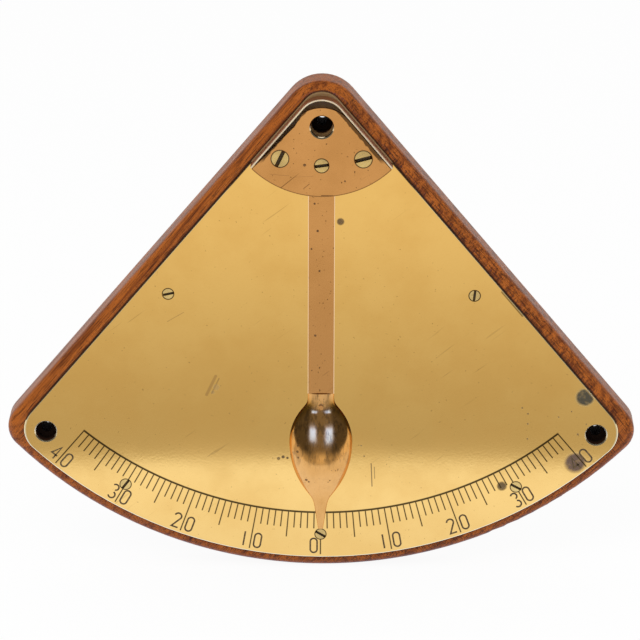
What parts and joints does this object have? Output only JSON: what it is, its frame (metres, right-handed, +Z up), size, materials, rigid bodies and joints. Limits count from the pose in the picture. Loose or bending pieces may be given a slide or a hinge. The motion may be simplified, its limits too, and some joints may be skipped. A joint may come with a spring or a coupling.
{
  "type": "pendulum inclinometer",
  "caption": "Sector-shaped pendulum clinometer: engraved brass dial on a varnished wooden board, with a free-swinging pointer bob under a fan-shaped front cover.",
  "frame": {"origin": "on the board's back face, on the pendulum's pivot axis", "axes": "+Z up towards the nose, -Y out of the dial towards the reader, +X to the reader's right"},
  "size_m": [0.3028, 0.0286, 0.2451],
  "materials": {
    "board_wood": "varnished hardwood, gloss",
    "dial_brass": "satin engraved brass with light tarnish",
    "screw_brass": "turned brass, dulled",
    "cover_bronze": "brushed red bronze",
    "rim_brass": "polished on the edge, tarnished inside",
    "pivot_brass": "turned brass, hidden",
    "bob_bronze": "mirror polished bronze"
  },
  "bodies": {
    "case": {"backboard": "board_wood", "dial_plate": "dial_brass", "dial_screws": "screw_brass", "front_cover": "cover_bronze", "cover_rim": "rim_brass", "cover_pillars": "screw_brass", "cover_screws": "screw_brass", "pivot_screw": "screw_brass", "pivot_sleeve": "pivot_brass", "pivot_washers": "pivot_brass"},
    "pendulum": {"pivot_bush": "pivot_brass", "pendulum_arm": "cover_bronze", "pendulum_bob": "bob_bronze", "bob_rivets": "bob_bronze"}
  },
  "joints": [
    {"name": "pendulum_swing", "type": "hinge", "parent": "case", "child": "pendulum", "pos_m": [0, -0.0218, 0], "axis": [0, -1, 0], "range_deg": [-65, 65]}
  ]
}
